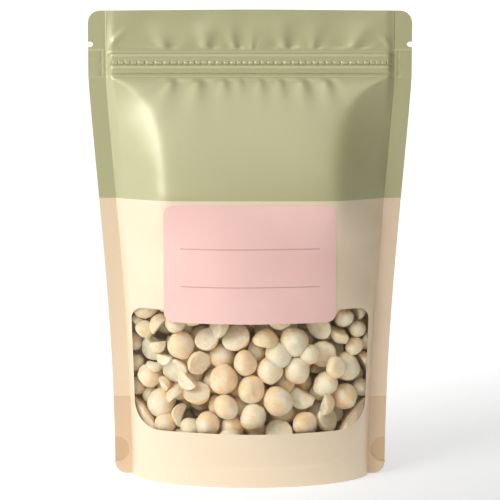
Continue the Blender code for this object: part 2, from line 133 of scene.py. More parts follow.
def chamber_half(z):
    """Half of the width between the side seals."""
    return half_width(z) - SIDE_SEAL


def bow(z):
    return BASE_BOW + (ZIP_BOW - BASE_BOW) * smooth((z - BOW_START) / (ZIP_LOW - BOW_START))


def solve_belly():
    """Heights, and the belly's depth at each.

    The bow between the side seals is as long as the film is wide.
    """
    heights = np.linspace(0, ZIP_LOW, 101)
    film_width = 2 * (POUCH_HALF - SIDE_SEAL)
    angle = np.linspace(-np.pi / 2, np.pi / 2, 97)[:, None]
    across = chamber_half(heights) * np.sin(angle)
    shape = np.clip(np.cos(angle), 0, 1) ** (2 * bow(heights))
    low, high = np.zeros_like(heights), np.full_like(heights, film_width / 2)
    for _ in range(30):
        middle = (low + high) / 2
        length = np.hypot(np.diff(across, axis=0), np.diff(shape * middle, axis=0)).sum(axis=0)
        low = np.where(length < film_width, middle, low)
        high = np.where(length < film_width, high, middle)
    return heights, low * (1 - np.exp(-(ZIP_LOW - heights) / PUCKER_LENGTH))


BELLY_HEIGHTS, BELLY_DEPTHS = solve_belly()


def belly(z):
    return np.interp(z, BELLY_HEIGHTS, BELLY_DEPTHS)


SHOULDER_AT_ZIP = 71.5 * MM
SHOULDER_MOVES_IN = 25 * MM
SHOULDER_LENGTH = 11 * MM
FACET_RUN_OUT = 3 * MM
SHOULDER_SOFTNESS = 0.03
FLARE_DEPTH = 4.2 * MM
FLARE_RISE = 4.5 * MM
FLARE_LENGTH = 36 * MM


def under_zip(z):
    return np.clip(ZIP_LOW - z, 0, None)


def shoulder(z):
    """Where the flat front ends and the facet down to the side seal starts, above the filling."""
    return SHOULDER_AT_ZIP - SHOULDER_MOVES_IN * (1 - np.exp(-under_zip(z) / SHOULDER_LENGTH))


def slack_section(x, z):
    """The empty upper part's cross-section, 0 to 1: a flat front, a shoulder and a straight facet."""
    half = chamber_half(z)
    short = 1 - (half - np.abs(x)) / (half - shoulder(z) + FACET_RUN_OUT)
    return np.clip(1 - 0.5 * (short + np.sqrt(short**2 + SHOULDER_SOFTNESS)), 0, 1)


def flare(z):
    """How far the flat front springs out right under the stiff zip, beyond the belly's own curve."""
    down = under_zip(z)
    return FLARE_DEPTH * (1 - np.exp(-down / FLARE_RISE)) * np.exp(-down / FLARE_LENGTH)


def seal_half(z):
    return FOUR_FILMS + (TWO_FILMS - FOUR_FILMS) * smooth((z - GUSSET_FOLD) / SEAL_STEP)


def plain_depth(x, z):
    """From the middle plane to either film's outer face below the zip, with no creases."""
    share = np.minimum(1.0, np.abs(x) / chamber_half(z))
    return seal_half(z) + belly(z) * (1 - share**2) ** bow(z)


def weld_height(x):
    """The height of the gusset's weld to the films: low in the middle, up to its fold at the sides."""
    share = np.minimum(1.0, np.abs(x) / chamber_half(GUSSET_FOLD))
    return WELD_HEIGHT + (GUSSET_FOLD - FOLD_HALF - WELD_HEIGHT) * share**8


def arch_height(x):
    """The gusset's height along its middle: a flat floor that arches up to the fold at the sides."""
    share = np.minimum(1.0, np.abs(x) / chamber_half(GUSSET_FOLD))
    return FILM + (GUSSET_FOLD - FILM) * smooth((share - ARCH_START) / (1 - ARCH_START))


def gusset_height(x, y):
    """The gusset's height anywhere between the films, which its floor curves up to meet."""
    weld = weld_height(x)
    depth = plain_depth(x, weld) - FILM - GAP
    share = np.minimum(1.0, np.abs(y) / depth)
    rise = np.maximum(0.0, (share - FLOOR_SHARE) / (1 - FLOOR_SHARE)) ** 2
    return arch_height(x) + (weld - arch_height(x)) * rise


# ---------------------------------------------------------------- creases, zip bands and embossing


def ripple(x, z, wavelength, seed):
    """Soft random unevenness, about -1 to 1."""
    waves = 8
    chance = np.random.default_rng(seed)
    total = np.zeros(np.broadcast(x, z).shape)
    for _ in range(waves):
        angle = chance.uniform(0, np.pi)
        length = wavelength * chance.uniform(0.7, 1.5)
        phase = chance.uniform(0, 2 * np.pi)
        total += np.cos(2 * np.pi * (x * np.cos(angle) + z * np.sin(angle)) / length + phase)
    return total / waves**0.5


def band(z, centre, half):
    """A rounded band's section, 1 along its middle."""
    return np.clip(1 - ((z - centre) / half) ** 2, 0, 1) ** 0.6


# The zip's relief, in millimetres. For each band: its place over the zip's middle, half width and height.
ZIP_MIDDLE = (ZIP_LOW + ZIP_HIGH) / 2
ZIP_LIFT = 1.25
LOWER_BAND = (-2.75, 2.2, 1.0)
UPPER_BAND = (3.2, 1.9, 0.85)
BEAD = (0.45, 0.95, 1.05)
CRIMP_PITCH = 3.4
CRIMP_DEPTH = 0.55


def crimps(x):
    """The bead's height along the zip, 1 with a dip at each of its unevenly spaced crimps."""
    wander = 0.25 * np.sin(x / (5 * MM)) + 0.3 * np.sin(x / (13 * MM) + 1)
    pinch = np.abs((x / (CRIMP_PITCH * MM) + wander) % 1.0 - 0.5) * 2
    return 1 - CRIMP_DEPTH * smooth((pinch - 0.7) / 0.22)


def zip_relief(x, z):
    """How far the zip lifts the film: two rounded bands, with a crimped bead between them."""
    lift = ZIP_LIFT * np.exp(-under_zip(z) / (10 * MM))
    lift *= 1 - 0.45 * smooth((z - ZIP_HIGH + 1.2 * MM) / (0.9 * MM))
    lift *= 1 - smooth((z - ZIP_HIGH) / (POUCH_HEIGHT - ZIP_HIGH))
    for (place, half, height), along in ((LOWER_BAND, 1.0), (UPPER_BAND, 1.0), (BEAD, crimps(x))):
        lift += height * along * band(z, ZIP_MIDDLE + place * MM, half * MM)
    taper = smooth((chamber_half(z) - np.abs(x)) / (3.6 * MM))
    return lift * taper * MM


# The folds that spread from the stiff zip: place, half width, length and height in millimetres, and lean.
FOLDS_BELOW = (
    (-38.5, 4.2, 15, 0.95, -0.3),
    (-25.5, 4.4, 16, 1.0, -0.12),
    (-13, 2.8, 11, 0.7, 0),
    (-5, 2.3, 9, 0.5, 0),
    (5, 2.7, 11, 0.65, 0),
    (14.5, 2.8, 11, 0.7, 0.05),
    (25.5, 3.8, 14, 0.95, 0.1),
    (37, 3.6, 13, 0.85, 0.15),
)
FOLDS_ABOVE = (
    (-41.5, 4.8, 14, 1.1, -0.5),
    (-21.5, 4.4, 14, 1.15, -0.1),
    (-7, 3.0, 13, 0.9, -0.3),
    (1, 1.9, 8, 0.5, 0),
    (17.5, 4.2, 15, 1.2, -0.2),
    (31, 3.1, 11, 0.7, 0.1),
    (50, 5.4, 12, 1.1, 0.5),
)


def hump(offset, width=1.0):
    """A soft ridge's section, 1 along its middle."""
    return np.exp(-((offset / width) ** 2))


def folds(x, away, listed):
    """Cones of slack film, pointed at the zip and wider further away, with a hollow on each side."""
    total = np.zeros(np.broadcast(x, away).shape)
    for place, width, length, height, lean in listed:
        run = np.clip(away / (length * MM), 0, 4)
        spread = width * (0.45 + 0.8 * run) * MM
        offset = (x - place * MM - lean * away) / spread
        strength = smooth(run / 0.17) * np.exp(-1.6 * run)
        hollow = 0.55 * hump(offset - 1.6, 1.3) + 0.3 * hump(offset + 1.9, 1.3)
        total += height * strength * (hump(offset) - hollow)
    return total * MM


def corner_creases(x, over_zip):
    """A short crease up and in from each end of the zip."""
    inward = chamber_half(ZIP_HIGH) - np.abs(x)
    along, off = (inward + over_zip) / 2**0.5, (over_zip - inward) / 2**0.5
    fade = smooth(along / (3 * MM)) * (1 - smooth((along - 4 * MM) / (14 * MM))) * (over_zip > -2 * MM)
    return 0.5 * MM * fade * hump(off, 1.6 * MM)


WRINKLE_HEIGHTS = np.arange(50, 168, 11)  # millimetres


def seam_wrinkles(x, z, seed):
    """Short wrinkles that run in from the side seals, where the flat seal holds the curved film."""
    chance = np.random.default_rng(seed)
    total = np.zeros(np.broadcast(x, z).shape)
    for side in (-1, 1):
        from_seal = chamber_half(z) - side * x
        for height in WRINKLE_HEIGHTS:
            centre = (height + chance.uniform(-4, 4)) * MM + chance.uniform(-0.7, 0.7) * from_seal
            width = chance.uniform(2.5, 5) * MM
            reach = chance.uniform(8, 19) * MM
            depth = chance.choice([-1, 0.8]) * chance.uniform(0.25, 0.7) * MM
            fade = smooth(from_seal / (1.5 * MM)) * np.exp(-np.clip(from_seal, 0, None) / reach)
            total += depth * fade * hump(z - centre, width) * (side * x > 0)
    return total


def seal_marks(x, z):
    """The side seals' marks: crushed zip ends, lines of the sealing bars and punched half circles."""
    into_seal = np.abs(x) - chamber_half(z)
    crushed = smooth((z - ZIP_LOW + 0.5 * MM) / (0.5 * MM))
    crushed = crushed * smooth((ZIP_HIGH + 0.4 * MM - z) / (0.5 * MM))
    marks = crushed * (0.08 * MM + 0.05 * MM * ripple(x, z, 3.5 * MM, 4))
    marks -= 0.15 * MM * crushed * hump(into_seal - 1.9 * MM, 0.45 * MM)
    for line in (ZIP_LOW - 0.6 * MM, ZIP_HIGH + 0.3 * MM):
        marks += 0.16 * MM * hump(z - line, 0.4 * MM)
    from_punch = np.hypot(np.abs(x) - half_width(PUNCH_HEIGHT) + PUNCH_FROM_EDGE, z - PUNCH_HEIGHT)
    dished = 0.2 * MM * smooth((PUNCH_RADIUS - from_punch) / (0.4 * MM))
    rim = 0.12 * MM * hump(from_punch - PUNCH_RADIUS, 0.35 * MM)
    return (marks + rim - dished) * (into_seal > 0)


FRONT, BACK = (11, 1), (23, -1)  # each film's seed for its unevenness, and the side that mirrors its folds
UNEVEN_HEIGHT = 0.55 * MM
HEADER_UNEVEN_HEIGHT = 0.22 * MM
WELD_STEP = 0.5 * MM
SEAL_EDGE_STEP = 0.2 * MM
LEAST_GAP = 0.03 * MM


def film_depth(x, z, seed, side):
    """From the middle plane to a film's outer face, creases and all."""
    from_seal = chamber_half(z) - np.abs(x)
    inside = smooth(from_seal / (5 * MM))
    below_zip = z < ZIP_LOW
    body = np.where(below_zip, plain_depth(x, z) - seal_half(z), 0.0)
    slack = SLACK_SHARE * smooth((z - FILL_HEIGHT + 15 * MM) / (30 * MM)) * below_zip
    body += slack * ((belly(z) + flare(z)) * slack_section(x, z) - body)
    # Away from the zip and the gusset's weld, the film is loose enough to be uneven.
    loose = smooth((ZIP_LOW - z) / (25 * MM)) * smooth((z - weld_height(x) - 1 * MM) / (14 * MM))
    relief = inside * loose * UNEVEN_HEIGHT * ripple(x, z, 70 * MM, seed)
    relief += loose * seam_wrinkles(x, z, seed + 2)
    relief += inside * folds(side * x, ZIP_LOW - 0.6 * MM - z, FOLDS_BELOW)
    over_zip = z - ZIP_HIGH - 0.4 * MM
    header_fade = 1 - smooth((over_zip - 9 * MM) / (9 * MM))
    relief += inside * header_fade * folds(side * x, over_zip, FOLDS_ABOVE)
    relief += inside * corner_creases(x, over_zip)
    relief += inside * smooth(over_zip / (3 * MM)) * HEADER_UNEVEN_HEIGHT * ripple(x, z, 24 * MM, seed + 3)
    # The film steps out over the gusset's weld and in along the side seals.
    relief += inside * WELD_STEP * smooth((z - weld_height(x)) / (1.2 * MM))
    relief += SEAL_EDGE_STEP * smooth(from_seal / (0.5 * MM)) * smooth((z - 2 * MM) / (10 * MM))
    depth = seal_half(z) + body + zip_relief(x, z) + relief + seal_marks(x, z)
    return np.maximum(depth, FILM + LEAST_GAP)


# ---------------------------------------------------------------- sheets


PANEL_TOP = ZIP_LOW - 0.9 * MM  # each film is two meshes, a panel and a finer header over the zip
TOP_EDGE_CROWN = 0.5 * MM  # how much higher the top edge is in its middle

# Columns of a side seal, in millimetres from the belly: closer together where the zip's ends are crushed.
SEAL_COLUMNS = np.array([0.15, 0.4, 0.8, 1.3, 1.6, 1.9, 2.2, 2.6, 3.4, 4.4, 5.4, 6.3, 7.1, 7.7, 8.1, 8.5])
NOTCH_ROWS = np.array([-1.03, -1, -0.8, -0.5, -0.2, 0.2, 0.5, 0.8, 1, 1.03])


def distinct(values):
    """Sorted values, without those that nearly coincide."""
    values = np.unique(np.round(values, 7))
    return values[np.concatenate([[True], np.diff(values) > 0.02 * MM])]


def panel_heights():
    """Rows of a panel: finer at the base and under the zip, with one on each edge between two colours."""
    wide = np.linspace(14 * MM, PANEL_TOP - 26 * MM, 88)
    return distinct(np.concatenate([
        np.linspace(0, 2 * MM, 9),
        np.linspace(2 * MM, 14 * MM, 17),
        wide[(np.abs(wide - GUSSET_FOLD) > 0.8 * MM) & (np.abs(wide - COLOUR_CHANGE) > 0.8 * MM)],
        np.linspace(PANEL_TOP - 26 * MM, PANEL_TOP - 6 * MM, 26),
        np.linspace(PANEL_TOP - 6 * MM, PANEL_TOP, 14),
        np.array([GUSSET_FOLD, COLOUR_CHANGE]),
    ]))


def header_heights():
    """Rows of a header: finest over the zip, and set to the tear notches' shape."""
    return distinct(np.concatenate([
        np.linspace(PANEL_TOP, ZIP_HIGH + 1.6 * MM, 56),
        NOTCH_HEIGHT + NOTCH_HALF * NOTCH_ROWS,
        np.linspace(NOTCH_HEIGHT + 1.7 * MM, POUCH_HEIGHT - 2 * MM, 14),
        np.linspace(POUCH_HEIGHT - 2 * MM, POUCH_HEIGHT, 7),
    ]))


def film_columns(half_count):
    """Columns of a film's mesh: -1 to 1 across the belly, and on to -2 or 2 across a side seal."""
    belly_part = np.linspace(-1, 1, 2 * half_count + 1)
    seal_part = 1 + SEAL_COLUMNS / SEAL_COLUMNS[-1]
    return np.concatenate([-seal_part[::-1], belly_part, seal_part])


def notch_depth(z):
    """How far the tear notches cut into both side edges at a height."""
    across = np.abs(z - NOTCH_HEIGHT) / NOTCH_HALF
    return np.where(across <= 1.001, NOTCH_DEPTH * (1 - 0.45 * across**1.8), 0.0)


def corner_inset(from_edge, radius):
    """How far a rounded corner cuts in, at a distance from the side edge."""
    inward = np.clip(radius - from_edge, 0, radius)
    return radius - np.sqrt(np.clip(radius**2 - inward**2, 0, None))


def film_place(columns, rows):
    """x and z of each point of a film: slanting sides, rounded corners and tear notches."""
    column, flat = np.meshgrid(columns, rows)
    across = np.abs(column)
    blend_top = smooth((flat - NOTCH_HEIGHT - 3 * MM) / (POUCH_HEIGHT - NOTCH_HEIGHT - 3 * MM))
    blend_base = 1 - smooth(flat / (PUNCH_HEIGHT * 1.6))
    z = flat
    for _ in range(3):  # x depends on z at the slanting sides, and z on x at the rounded corners
        chamber = chamber_half(z)
        edge = half_width(z) - notch_depth(z)
        x = np.where(
            across <= 1,
            chamber * np.sin(np.pi / 2 * column),
            np.sign(column) * (chamber + (across - 1) * (edge - chamber)),
        )
        top = POUCH_HEIGHT - corner_inset(POUCH_HALF - np.abs(x), CORNER_RADIUS)
        base = corner_inset(half_width(0.0) - np.abs(x), CORNER_RADIUS)
        crown = TOP_EDGE_CROWN * np.cos(np.pi / 2 * np.clip(x / POUCH_HALF, -1, 1)) ** 2
        z = flat - blend_top * (POUCH_HEIGHT - top - crown) + blend_base * base
    return x, z


def slope(height, a, b, step):
    """How fast a height rises along each of its two places."""
    along_a = (height(a + step, b) - height(a - step, b)) / (2 * step)
    along_b = (height(a, b + step) - height(a, b - step)) / (2 * step)
    return along_a, along_b


def surface_points(x, z, film, inset=0.0):
    """Points of a film's outer face, on the front's side, or of a layer at an inset square to it."""
    points = np.stack([x, -film_depth(x, z, *film), z], axis=-1)
    if inset:
        slope_x, slope_z = slope(lambda a, b: film_depth(a, b, *film), x, z, 0.2 * MM)
        inward = np.stack([slope_x, np.ones_like(x), slope_z], axis=-1)
        points += inset * inward / np.linalg.norm(inward, axis=-1, keepdims=True)
    return points


def grid_faces(row_count, column_count):
    corner = np.arange((row_count - 1) * (column_count - 1))
    corner = corner + corner // (column_count - 1)
    return np.stack([corner, corner + 1, corner + column_count + 1, corner + column_count], axis=1)


def add_mesh(name, points, faces, material):
    mesh = bpy.data.meshes.new(name)
    mesh.from_pydata([tuple(p) for p in points], [], [tuple(f) for f in faces])
    mesh.validate()
    mesh.shade_smooth()
    made = bpy.data.objects.new(name, mesh)
    bpy.context.scene.collection.objects.link(made)
    mesh.materials.append(material)
    return made


def add_sheet(name, points, thickness, material, flip=False):
    """A sheet through a grid of points, thickened inwards from its outer face."""
    rows, columns = points.shape[:2]
    faces = grid_faces(rows, columns)
    made = add_mesh(name, points.reshape(-1, 3), faces[:, ::-1] if flip else faces, material)
    solid = made.modifiers.new("thickness", "SOLIDIFY")
    solid.thickness = thickness
    solid.offset = -1
    solid.use_even_offset = False
    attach(made, "root")
    return made


def mark_seals(made, columns, row_count):
    """Marks the faces of the side seals, for the material to read."""
    middle = (columns[1:] + columns[:-1]) / 2
    on_seal = np.tile(np.abs(middle) > 1, row_count - 1)
    layer = made.data.attributes.new("seal", "FLOAT", "FACE")
    layer.data.foreach_set("value", on_seal.astype(np.float32))


def rounded_rectangle(half, low, high, low_radius, high_radius, columns, count):
    """x and z of a grid that fills a rectangle with rounded corners."""
    height = high - low
    t = np.linspace(0, 1, count)
    z = low + height * (t - 0.03 * np.sin(2 * np.pi * t))  # closer together at the corners
    below = np.clip((low + low_radius - z) / low_radius, 0, 1)
    above = np.clip((z - high + high_radius) / high_radius, 0, 1)
    reach = half - low_radius * (1 - np.sqrt(1 - below**2)) - high_radius * (1 - np.sqrt(1 - above**2))
    across, z = np.meshgrid(columns, z)
    return across * reach[:, None], z


CORNER_STEPS = 16
CUTTER_LENGTH = 80 * MM


def window_cutter():
    """A prism through the front film, with the window's outline."""
    outline = []
    corners = (
        (WINDOW_HALF_WIDTH, WINDOW_LOW, WINDOW_BASE_RADIUS, -90),
        (WINDOW_HALF_WIDTH + WINDOW_TOP_SPREAD, WINDOW_HIGH, WINDOW_TOP_RADIUS, 0),
        (-WINDOW_HALF_WIDTH - WINDOW_TOP_SPREAD, WINDOW_HIGH, WINDOW_TOP_RADIUS, 90),
        (-WINDOW_HALF_WIDTH, WINDOW_LOW, WINDOW_BASE_RADIUS, 180),
    )
    for corner_x, corner_z, radius, start in corners:
        centre_x = corner_x - math.copysign(radius, corner_x)
        centre_z = corner_z + (radius if corner_z == WINDOW_LOW else -radius)
        for i in range(CORNER_STEPS + 1):
            angle = math.radians(start + 90 * i / CORNER_STEPS)
            outline.append((centre_x + radius * math.cos(angle), centre_z + radius * math.sin(angle)))
    bm = bmesh.new()
    face = bm.faces.new([bm.verts.new((x, -1 * MM, z)) for x, z in outline])
    side = bmesh.ops.extrude_face_region(bm, geom=[face])
    moved = [item for item in side["geom"] if isinstance(item, bmesh.types.BMVert)]
    bmesh.ops.translate(bm, verts=moved, vec=(0, -CUTTER_LENGTH, 0))
    bmesh.ops.recalc_face_normals(bm, faces=bm.faces)
    mesh = bpy.data.meshes.new("window_cutter")
    bm.to_mesh(mesh)
    bm.free()
    cutter = bpy.data.objects.new("window_cutter", mesh)
    bpy.context.scene.collection.objects.link(cutter)
    return cutter


SHEET_SHARP_ANGLE = 55  # degrees


def apply_modifiers(made):
    """Turns the evaluated mesh into the object's own, and shades its rims apart from its faces."""
    graph = bpy.context.evaluated_depsgraph_get()
    graph.update()
    mesh = bpy.data.meshes.new_from_object(
        made.evaluated_get(graph),
        preserve_all_data_layers=True,
        depsgraph=graph,
    )
    made.modifiers.clear()
    made.data = mesh
    mesh.shade_smooth()
    mesh.set_sharp_from_angle(angle=math.radians(SHEET_SHARP_ANGLE))


def build_films(materials):
    """Both films, each as a panel and a header, with the window cut through the front panel."""
    parts = (
        ("panel", panel_heights(), film_columns(96)),
        ("header", header_heights(), film_columns(240)),
    )
    sheets = {}
    for name, film, mirror in (("front", FRONT, 1), ("back", BACK, -1)):
        for part, rows, columns in parts:
            x, z = film_place(columns, rows)
            points = surface_points(x, z, film) * np.array([1, mirror, 1])
            made = add_sheet(
                name + "_" + part, points, FILM, materials["film"], flip=mirror < 0
            )
            mark_seals(made, columns, len(rows))
            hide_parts(name + "_film")
            sheets[name, part] = made
    cutter = window_cutter()
    cut = sheets["front", "panel"].modifiers.new("window", "BOOLEAN")
    cut.object = cutter
    for made in sheets.values():
        apply_modifiers(made)
    bpy.data.objects.remove(cutter)


def build_window(materials):
    """The clear film, right behind the printed one and a little larger than the window."""
    margin = LINING_MARGIN
    x, z = rounded_rectangle(
        WINDOW_HALF_WIDTH + margin / 2,
        WINDOW_LOW - margin,
        WINDOW_HIGH + margin,
        WINDOW_BASE_RADIUS + margin,
        WINDOW_TOP_RADIUS + margin,
        np.sin(np.linspace(-np.pi / 2, np.pi / 2, 101)),
        61,
    )
    x *= 1 + WINDOW_TOP_SPREAD / WINDOW_HALF_WIDTH * smooth((z - WINDOW_LOW) / (WINDOW_HIGH - WINDOW_LOW))
    points = surface_points(x, z, FRONT, inset=FILM + GAP / 2)
    clear = add_sheet("window_pane", points, CLEAR_FILM, materials["clear"])
    apply_modifiers(clear)
    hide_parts("window_film")


def build_label(materials):
    """The paper label, a glue layer's thickness off the front film."""
    x, z = rounded_rectangle(
        LABEL_HALF_WIDTH,
        LABEL_LOW,
        LABEL_HIGH,
        LABEL_RADIUS,
        LABEL_RADIUS,
        np.linspace(-1, 1, 101),
        81,
    )
    points = surface_points(x, z, FRONT, inset=-LABEL_PAPER - LABEL_GLUE)
    label = add_sheet("pink_label", points, LABEL_PAPER, materials["label"])
    apply_modifiers(label)
    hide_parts("front_label")


# ---------------------------------------------------------------- kernels


KERNEL_SWELL = 0.19  # the solids stand apart, and real kernels touch
CUT_RIM_CREASE = 0.35
SIDE_ROOM = 0.8 * MM  # kept free between the kernels and the pouch's inner faces
FILM_ROOM = 0.25 * MM
GUSSET_ROOM = 0.3 * MM


def noise_field(points, size, seed):
    """Smooth random values at points, about -1 to 1."""
    waves = 9
    chance = np.random.default_rng(seed)
    total = np.zeros(len(points))
    for _ in range(waves):
        direction = chance.normal(size=3)
        direction /= np.linalg.norm(direction)
        length = size * chance.uniform(0.7, 1.6)
        total += np.cos(2 * np.pi * points @ direction / length + chance.uniform(0, 2 * np.pi))
    return total / waves**0.5


def vertex_values(mesh, field):
    values = np.empty(len(mesh.vertices) * 3, np.float32)
    mesh.vertices.foreach_get(field, values)
    return values.reshape(-1, 3)


def move_vertices(mesh, points):
    mesh.vertices.foreach_set("co", points.astype(np.float32).ravel())


def keep_inside(points):
    """Flattens whatever would stand through a film or the gusset against it."""
    x, y, z = points.T
    half = chamber_half(z) - SIDE_ROOM
    x = np.clip(x, -half, half)
    outer = [film_depth(x, np.clip(z, 2 * MM, None), *film) for film in (FRONT, BACK)]
    front, back = (np.maximum(depth - FILM - GAP / 2 - FILM_ROOM, 0.02 * MM) for depth in outer)
    y = np.clip(y, -front, back)
    z = np.maximum(z, gusset_height(x, y) + GUSSET_ROOM)
    return np.stack([x, y, z], axis=1)


def refine_kernel(node, seed):
    """A finer kernel from its solid: rounded, with an uneven skin, and cut faces that stay nearly flat."""
    bm = bmesh.new()
    bm.from_mesh(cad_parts[node].data)
    bmesh.ops.remove_doubles(bm, verts=bm.verts, dist=0.005 * MM)
    bmesh.ops.dissolve_limit(bm, angle_limit=math.radians(2), verts=bm.verts, edges=bm.edges)
    bmesh.ops.recalc_face_normals(bm, faces=bm.faces)
    cut_faces = [face for face in bm.faces if len(face.verts) > 5]  # the skin's have fewer corners
    cut_normals = [face.normal.copy() for face in cut_faces]
    crease = bm.edges.layers.float.new("crease_edge")
    for edge in bm.edges:
        if any(face in cut_faces for face in edge.link_faces):
            edge[crease] = CUT_RIM_CREASE
    mesh = bpy.data.meshes.new(node)
    bm.to_mesh(mesh)
    bm.free()
    made = bpy.data.objects.new(node + "_nut", mesh)
    bpy.context.scene.collection.objects.link(made)
    subdivide = made.modifiers.new("round", "SUBSURF")
    subdivide.levels = subdivide.render_levels = 3
    bpy.context.view_layer.update()
    apply_modifiers(made)
    shape_kernel(made.data, cut_normals, seed)
    return made


def shape_kernel(mesh, cut_normals, seed):
    """Gives a kernel its uneven skin and its full size, and marks where it is cut and how dark it is."""
    count = len(mesh.vertices)
    points = vertex_values(mesh, "co").astype(float)
    normals = vertex_values(mesh, "normal").astype(float)
    centre = (points.min(axis=0) + points.max(axis=0)) / 2
    on_cut = np.zeros(count)
    for normal in cut_normals:
        on_cut = np.maximum(on_cut, smooth((normals @ np.array(normal) - 0.93) / 0.05))
    skin = 0.32 * noise_field(points, 9 * MM, seed) + 0.08 * noise_field(points, 3 * MM, seed + 1)
    cut_skin = 0.1 * noise_field(points, 5 * MM, seed + 2) - 0.1
    points += normals * ((skin * (1 - on_cut) + cut_skin * on_cut) * MM)[:, None]
    points += (points - centre) * KERNEL_SWELL
    move_vertices(mesh, keep_inside(points))
    layer = mesh.attributes.new("cut", "FLOAT", "POINT")
    layer.data.foreach_set("value", on_cut.astype(np.float32))
    tone = mesh.attributes.new("tone", "FLOAT", "POINT")
    shade = np.random.default_rng(seed + 3).uniform(0, 1)
    tone.data.foreach_set("value", np.full(count, shade, np.float32))
    mesh.update()
    mesh.shade_smooth()


def build_window_kernels(materials):
    """The kernels that show in the window, each with a seed of its own."""
    for number, node in enumerate(WINDOW_KERNELS):
        made = refine_kernel(node, 100 + 10 * number)
        made.data.materials.clear()
        made.data.materials.append(materials["kernel"])
        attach(made, "root")
        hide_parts(node)


PILE_COUNT = 290
PILE_RADII = (5.6 * MM, 7.3 * MM)
CHIP_COUNT = 60  # smaller pieces, along the left and right of the window
CHIP_RADII = (4.6 * MM, 5.9 * MM)
CHIP_REACH = (0.74, 0.94)  # how far out they start, as a share of the way to the side seal
SCATTER_SEED = 5
KINDS_SEED = 9
SETTLING_STEPS = 320
FALL_PER_STEP = 0.1 * MM
PUSH_SHARE = 0.8
MOST_MOVE = 3 * MM
SLOPE_STEP = 0.4 * MM


def kernel_balls():
    """Centre and radius of the ball that holds each kernel behind the window."""
    centres, radii = [], []
    for name in WINDOW_KERNELS:
        points = np.array([v.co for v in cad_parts[name].data.vertices])
        centre = (points.min(axis=0) + points.max(axis=0)) / 2
        centres.append(centre)
        radii.append(np.linalg.norm(points - centre, axis=1).max() * 0.97)
    return np.array(centres), np.array(radii)


def scatter_pile(chance):
    """Places and radii of the pile's balls before they settle, the chips last."""
    count, total = PILE_COUNT, PILE_COUNT + CHIP_COUNT
    radii = np.concatenate([chance.uniform(*PILE_RADII, count), chance.uniform(*CHIP_RADII, CHIP_COUNT)])
    z = np.concatenate([
        chance.uniform(20 * MM, FILL_HEIGHT + 12 * MM, count),
        chance.uniform(26 * MM, WINDOW_HIGH + 8 * MM, CHIP_COUNT),
    ])
    x = chance.uniform(-0.8, 0.8, total) * chamber_half(z)
    side = chance.choice([-1, 1], CHIP_COUNT)
    x[count:] = side * chance.uniform(*CHIP_REACH, CHIP_COUNT) * chamber_half(z[count:])
    y = chance.uniform(-0.9, 1.0, total) * (plain_depth(x, z) - radii)
    y[count:] = -0.6 * (plain_depth(x[count:], z[count:]) - radii[count:])
    return np.stack([x, y, z], axis=1), radii


def push_apart(moving, radii, fixed, fixed_radii):
    """Moves balls that overlap apart: half each way, or all of it from a kernel that stays."""
    count = len(moving)
    everyone = np.concatenate([moving, fixed])
    sizes = np.concatenate([radii, fixed_radii])
    apart = moving[:, None, :] - everyone[None, :, :]
    distance = np.linalg.norm(apart, axis=2) + 1e-9
    short = np.clip(radii[:, None] + sizes[None, :] - distance, 0, None)
    short[np.arange(count), np.arange(count)] = 0
    push = apart / distance[:, :, None] * short[:, :, None] * 0.5
    push[:, count:] *= 2
    moving += push.sum(axis=1) * PUSH_SHARE


def push_off_films(moving, radii):
    """Moves balls that stand into a film back from it, square to it."""
    x, y, z = moving.T
    slope_x, slope_z = slope(plain_depth, x, z, SLOPE_STEP)
    square = np.sqrt(1 + slope_x**2 + slope_z**2)
    room = (plain_depth(x, z) - 0.6 * MM - np.abs(y)) / square
    lacking = np.clip(radii - room, 0, MOST_MOVE)
    inward = np.stack([slope_x, -np.sign(y), slope_z], axis=1) / square[:, None]
    moving += inward * lacking[:, None]


def push_off_gusset(moving, radii):
    """Moves balls that stand into the gusset up from it, square to it."""
    x, y, z = moving.T
    slope_x, slope_y = slope(gusset_height, x, y, SLOPE_STEP)
    square = np.sqrt(1 + slope_x**2 + slope_y**2)
    room = (z - gusset_height(x, y) - GUSSET_ROOM) / square
    lacking = np.clip(radii - room, 0, MOST_MOVE)
    upward = np.stack([-slope_x, -slope_y, np.ones(len(moving))], axis=1) / square[:, None]
    moving += upward * lacking[:, None]


def settle_pile():
    """Drops balls round the window's kernels and pushes them apart, inside the films and over the gusset."""
    moving, radii = scatter_pile(np.random.default_rng(SCATTER_SEED))
    fixed, fixed_radii = kernel_balls()
    for _ in range(SETTLING_STEPS):
        moving[:, 2] -= FALL_PER_STEP
        push_apart(moving, radii, fixed, fixed_radii)
        push_off_films(moving, radii)
        push_off_gusset(moving, radii)
    x, y, z = moving.T
    kept = (np.abs(x) < chamber_half(z) - 0.7 * radii) & (np.abs(y) < plain_depth(x, z) - 0.5 * radii)
    kept &= z > gusset_height(x, y) + 0.5 * radii
    return moving[kept], radii[kept]


KIND_SHARES = {"whole": 0.45, "half": 0.38, "broken": 0.17}
HALVING = (Vector((0, 0, 0.1)), Vector((0, 0, 1)))  # a point and a direction of each cut, for a radius of 1
BREAK = (Vector((0.1, 0, 0)), Vector((1, 0.25, 0.2)).normalized())
CUTS = {"whole": (), "half": (HALVING,), "broken": (HALVING, BREAK)}
PILE_SHARP_ANGLE = 48  # degrees


def cut_off(made, point, normal):
    """Cuts a closed mesh at a plane, and closes the cut."""
    found = bmesh.ops.bisect_plane(
        made,
        geom=made.verts[:] + made.edges[:] + made.faces[:],
        dist=1e-4,
        plane_co=point,
        plane_no=normal,
        clear_outer=True,
    )
    rim = [item for item in found["geom_cut"] if isinstance(item, bmesh.types.BMEdge)]
    bmesh.ops.contextual_create(made, geom=rim)


